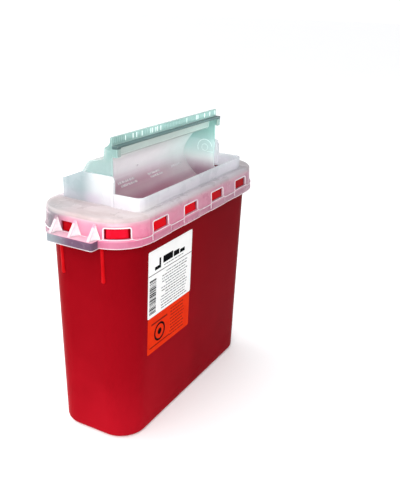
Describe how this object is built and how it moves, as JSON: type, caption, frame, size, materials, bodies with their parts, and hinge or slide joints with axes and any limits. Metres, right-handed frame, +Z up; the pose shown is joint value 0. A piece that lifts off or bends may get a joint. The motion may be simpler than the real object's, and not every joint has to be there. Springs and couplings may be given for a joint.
{
  "type": "sharps container",
  "caption": "Tapered red bin with a press-fit translucent cover, latch windows, end ledges and a clear counterbalanced drop door over the throat.",
  "frame": {"origin": "centre of the bin's flat base", "axes": "+X along the long side, -Y is the label and throat side, +Z up"},
  "size_m": [0.2918, 0.1102, 0.2914],
  "materials": {
    "bin_red": "glossy injection-moulded polypropylene",
    "cover_frosted": "frosted translucent polypropylene",
    "door_clear": "clear polypropylene with a green tint",
    "label_white": "printed film label",
    "label_orange": "printed film label"
  },
  "bodies": {
    "root": {"bin": "bin_red", "lid_cover": "cover_frosted", "label_white": "label_white", "label_orange": "label_orange"},
    "door": {"drop_door": "door_clear"}
  },
  "joints": [
    {"name": "door_hinge", "type": "hinge", "parent": "root", "child": "door", "pos_m": [0, 0.0015, 0.247], "axis": [1, 0, 0], "range_deg": [0, 77.5]}
  ]
}
